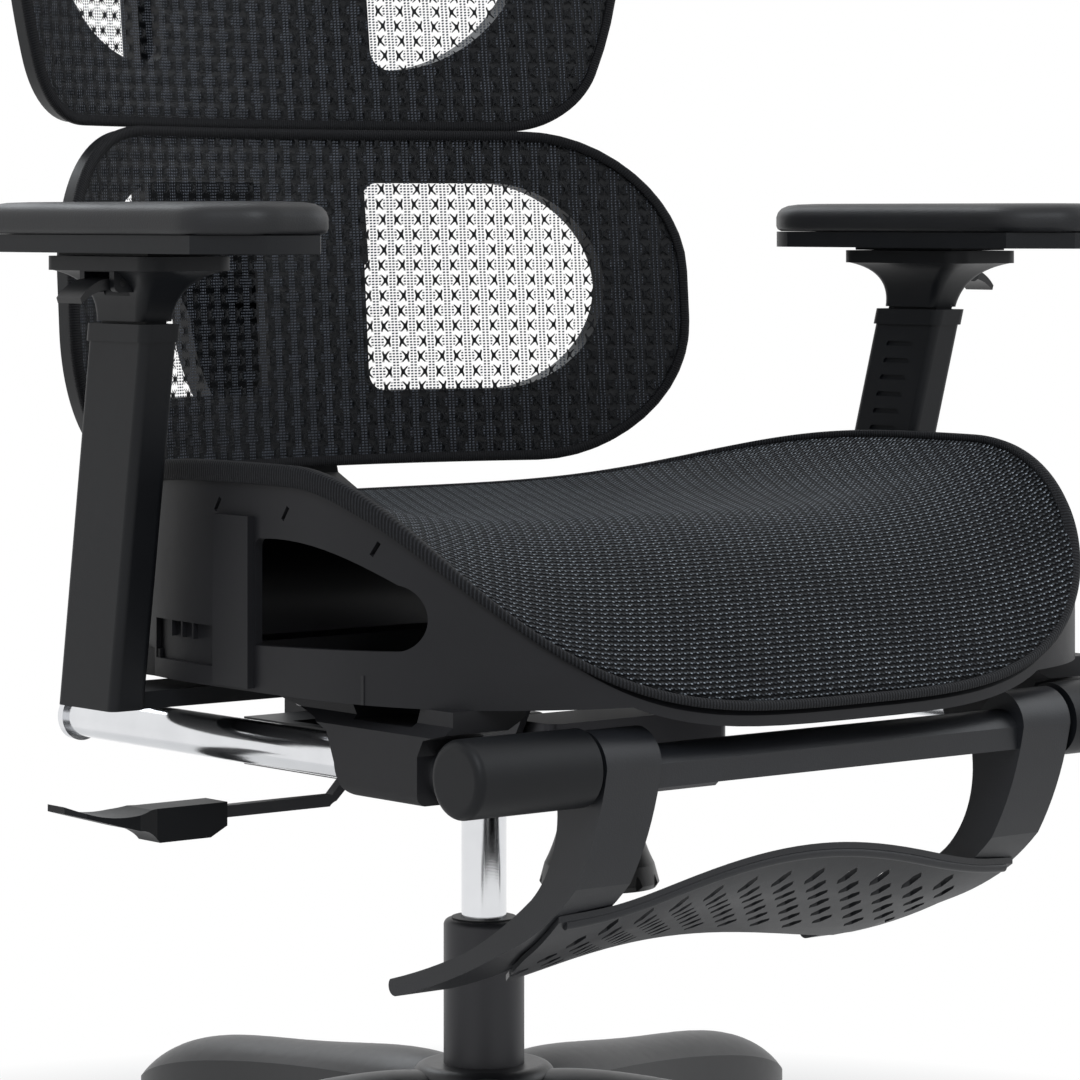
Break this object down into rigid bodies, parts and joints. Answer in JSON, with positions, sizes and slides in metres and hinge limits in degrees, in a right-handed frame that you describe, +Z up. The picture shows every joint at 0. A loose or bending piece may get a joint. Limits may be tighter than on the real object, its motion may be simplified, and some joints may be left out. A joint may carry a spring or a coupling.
{
  "type": "reclining office chair with footrest",
  "caption": "Swivel office chair with a reclining mesh back, rocking lumbar panel, headrest, adjustable armrests and a footrest that slides out and flips over.",
  "frame": {"origin": "on the floor under the gas column's axis", "axes": "+Z up along the gas column, -Y the way the chair faces, +X the sitter's left"},
  "size_m": [0.7229, 0.7089, 1.232],
  "materials": {
    "nylon": "fine texture, satin",
    "hard_plastic": "satin",
    "caster_plastic": "satin",
    "caster_tread": "satin",
    "chrome": "polished",
    "black_steel": "powder coat",
    "cast_alloy": "black coating",
    "back_mesh": "open woven mesh",
    "seat_mesh": "dense woven mesh",
    "pad_skin": "soft touch"
  },
  "bodies": {
    "base": {"star_base": "nylon", "column_tube": "black_steel", "column_bushing": "nylon"},
    "lift": {"gas_rod": "chrome"},
    "valve": {"valve_pin": "black_steel"},
    "chassis": {"tilt_housing": "cast_alloy", "recline_axle": "black_steel", "seat_axle": "black_steel"},
    "knob": {"tension_knob": "hard_plastic"},
    "lever": {"lever_rod": "black_steel", "lever_paddle": "nylon"},
    "back": {"back_bracket": "nylon", "spine": "nylon", "upper_frame": "nylon", "upper_mesh": "back_mesh"},
    "lumbar": {"lumbar_frame": "nylon", "lumbar_mesh": "back_mesh"},
    "headrest_carrier": {"headrest_stem": "black_steel"},
    "headrest": {"headrest_frame": "nylon", "headrest_mesh": "back_mesh"},
    "seat": {"seat_frame": "nylon", "seat_mesh": "seat_mesh", "seat_plate": "black_steel", "guide_bracket_l": "nylon", "guide_bracket_r": "nylon", "arm_bracket_l": "nylon", "arm_bracket_r": "nylon"},
    "footrest_carriage": {"slide_tube_l": "chrome", "slide_tube_r": "chrome", "elbow_l": "nylon", "elbow_r": "nylon"},
    "footrest": {"footrest_frame": "nylon", "footrest_pad": "nylon"},
    "caster_1": {"caster_hood_1": "caster_plastic"},
    "wheels_1": {"caster_wheels_1": "caster_tread"},
    "caster_2": {"caster_hood_2": "caster_plastic"},
    "wheels_2": {"caster_wheels_2": "caster_tread"},
    "caster_3": {"caster_hood_3": "caster_plastic"},
    "wheels_3": {"caster_wheels_3": "caster_tread"},
    "caster_4": {"caster_hood_4": "caster_plastic"},
    "wheels_4": {"caster_wheels_4": "caster_tread"},
    "caster_5": {"caster_hood_5": "caster_plastic"},
    "wheels_5": {"caster_wheels_5": "caster_tread"},
    "arm_riser_l": {"arm_post_l": "nylon", "arm_head_l": "nylon"},
    "arm_trigger_l": {"arm_trigger_l": "hard_plastic"},
    "arm_swivel_l": {"swivel_plate_l": "nylon"},
    "armpad_l": {"armpad_base_l": "nylon", "armpad_top_l": "pad_skin"},
    "arm_riser_r": {"arm_post_r": "nylon", "arm_head_r": "nylon"},
    "arm_trigger_r": {"arm_trigger_r": "hard_plastic"},
    "arm_swivel_r": {"swivel_plate_r": "nylon"},
    "armpad_r": {"armpad_base_r": "nylon", "armpad_top_r": "pad_skin"}
  },
  "joints": [
    {"name": "lift_slide", "type": "slide", "parent": "base", "child": "lift", "axis": [0, 0, 1], "range_m": [-0.035, 0.065]},
    {"name": "valve_press", "type": "slide", "parent": "lift", "child": "valve", "axis": [0, 0, -1], "range_m": [0, 0.003], "stiffness_N_per_m": 800},
    {"name": "chassis_swivel", "type": "hinge", "parent": "lift", "child": "chassis", "pos_m": [0, 0, 0.3], "axis": [0, 0, 1], "continuous": true},
    {"name": "knob_turn", "type": "hinge", "parent": "chassis", "child": "knob", "pos_m": [0, -0.11, 0.29], "axis": [0, 0, 1], "range_deg": [-720, 720]},
    {"name": "lever_lift", "type": "hinge", "parent": "chassis", "child": "lever", "pos_m": [-0.079, 0, 0.326], "axis": [0, 1, 0], "range_deg": [0, 5], "stiffness_Nm_per_rad": 6},
    {"name": "recline", "type": "hinge", "parent": "chassis", "child": "back", "pos_m": [0, 0.045, 0.331], "axis": [-1, 0, 0], "range_deg": [0, 30]},
    {"name": "seat_tilt", "type": "hinge", "parent": "chassis", "child": "seat", "pos_m": [0, -0.11, 0.354], "axis": [-1, 0, 0], "range_deg": [0, 9]},
    {"name": "lumbar_rock", "type": "hinge", "parent": "back", "child": "lumbar", "pos_m": [0, 0.212, 0.615], "axis": [1, 0, 0], "range_deg": [-5, 5], "stiffness_Nm_per_rad": 40},
    {"name": "headrest_height", "type": "slide", "parent": "back", "child": "headrest_carrier", "axis": [0, 0.1025, 0.9947], "range_m": [0, 0.06]},
    {"name": "headrest_tilt", "type": "hinge", "parent": "headrest_carrier", "child": "headrest", "pos_m": [0, 0.29542, 1.15], "axis": [1, 0, 0], "range_deg": [-20, 20]},
    {"name": "footrest_slide", "type": "slide", "parent": "seat", "child": "footrest_carriage", "axis": [0, -1, 0], "range_m": [0, 0.225]},
    {"name": "footrest_flip", "type": "hinge", "parent": "footrest_carriage", "child": "footrest", "pos_m": [0, -0.306, 0.365], "axis": [-1, 0, 0], "range_deg": [0, 120]},
    {"name": "caster_swivel_1", "type": "hinge", "parent": "base", "child": "caster_1", "pos_m": [0, 0.325, 0.08], "axis": [0, 0, 1], "continuous": true},
    {"name": "wheel_roll_1", "type": "hinge", "parent": "caster_1", "child": "wheels_1", "pos_m": [-0.01638, 0.33647, 0.03], "axis": [-0.5736, -0.8192, 0], "continuous": true},
    {"name": "caster_swivel_2", "type": "hinge", "parent": "base", "child": "caster_2", "pos_m": [-0.30909, 0.10043, 0.08], "axis": [0, 0, 1], "continuous": true},
    {"name": "wheel_roll_2", "type": "hinge", "parent": "caster_2", "child": "wheels_2", "pos_m": [-0.32507, 0.08839, 0.03], "axis": [0.6018, -0.7986, 0], "continuous": true},
    {"name": "caster_swivel_3", "type": "hinge", "parent": "base", "child": "caster_3", "pos_m": [-0.19103, -0.26293, 0.08], "axis": [0, 0, 1], "continuous": true},
    {"name": "wheel_roll_3", "type": "hinge", "parent": "caster_3", "child": "wheels_3", "pos_m": [-0.18452, -0.28184, 0.03], "axis": [0.9455, 0.3256, 0], "continuous": true},
    {"name": "caster_swivel_4", "type": "hinge", "parent": "base", "child": "caster_4", "pos_m": [0.19103, -0.26293, 0.08], "axis": [0, 0, 1], "continuous": true},
    {"name": "wheel_roll_4", "type": "hinge", "parent": "caster_4", "child": "wheels_4", "pos_m": [0.21103, -0.26258, 0.03], "axis": [-0.0175, 0.9998, 0], "continuous": true},
    {"name": "caster_swivel_5", "type": "hinge", "parent": "base", "child": "caster_5", "pos_m": [0.30909, 0.10043, 0.08], "axis": [0, 0, 1], "continuous": true},
    {"name": "wheel_roll_5", "type": "hinge", "parent": "caster_5", "child": "wheels_5", "pos_m": [0.31494, 0.11956, 0.03], "axis": [-0.9563, 0.2924, 0], "continuous": true},
    {"name": "arm_height_l", "type": "slide", "parent": "seat", "child": "arm_riser_l", "axis": [0.0545, -0.2247, 0.9729], "range_m": [0, 0.07]},
    {"name": "arm_release_l", "type": "hinge", "parent": "arm_riser_l", "child": "arm_trigger_l", "pos_m": [0.33306, -0.07598, 0.6255], "axis": [0, -1, 0], "range_deg": [0, 8], "stiffness_Nm_per_rad": 0.6},
    {"name": "arm_turn_l", "type": "hinge", "parent": "arm_riser_l", "child": "arm_swivel_l", "pos_m": [0.31106, -0.07598, 0.64], "axis": [0, 0, 1], "range_deg": [-25, 25]},
    {"name": "armpad_slide_l", "type": "slide", "parent": "arm_swivel_l", "child": "armpad_l", "axis": [0, -1, 0], "range_m": [-0.025, 0.025]},
    {"name": "arm_height_r", "type": "slide", "parent": "seat", "child": "arm_riser_r", "axis": [-0.0545, -0.2247, 0.9729], "range_m": [0, 0.07]},
    {"name": "arm_release_r", "type": "hinge", "parent": "arm_riser_r", "child": "arm_trigger_r", "pos_m": [-0.33306, -0.07598, 0.6255], "axis": [0, 1, 0], "range_deg": [0, 8], "stiffness_Nm_per_rad": 0.6},
    {"name": "arm_turn_r", "type": "hinge", "parent": "arm_riser_r", "child": "arm_swivel_r", "pos_m": [-0.31106, -0.07598, 0.64], "axis": [0, 0, 1], "range_deg": [-25, 25]},
    {"name": "armpad_slide_r", "type": "slide", "parent": "arm_swivel_r", "child": "armpad_r", "axis": [0, -1, 0], "range_m": [-0.025, 0.025]}
  ],
  "couplings": [
    {"joint": "seat_tilt", "follows": "recline", "ratio": 0.3},
    {"joint": "valve_press", "follows": "lever_lift", "m_per_rad": 0.03438}
  ]
}
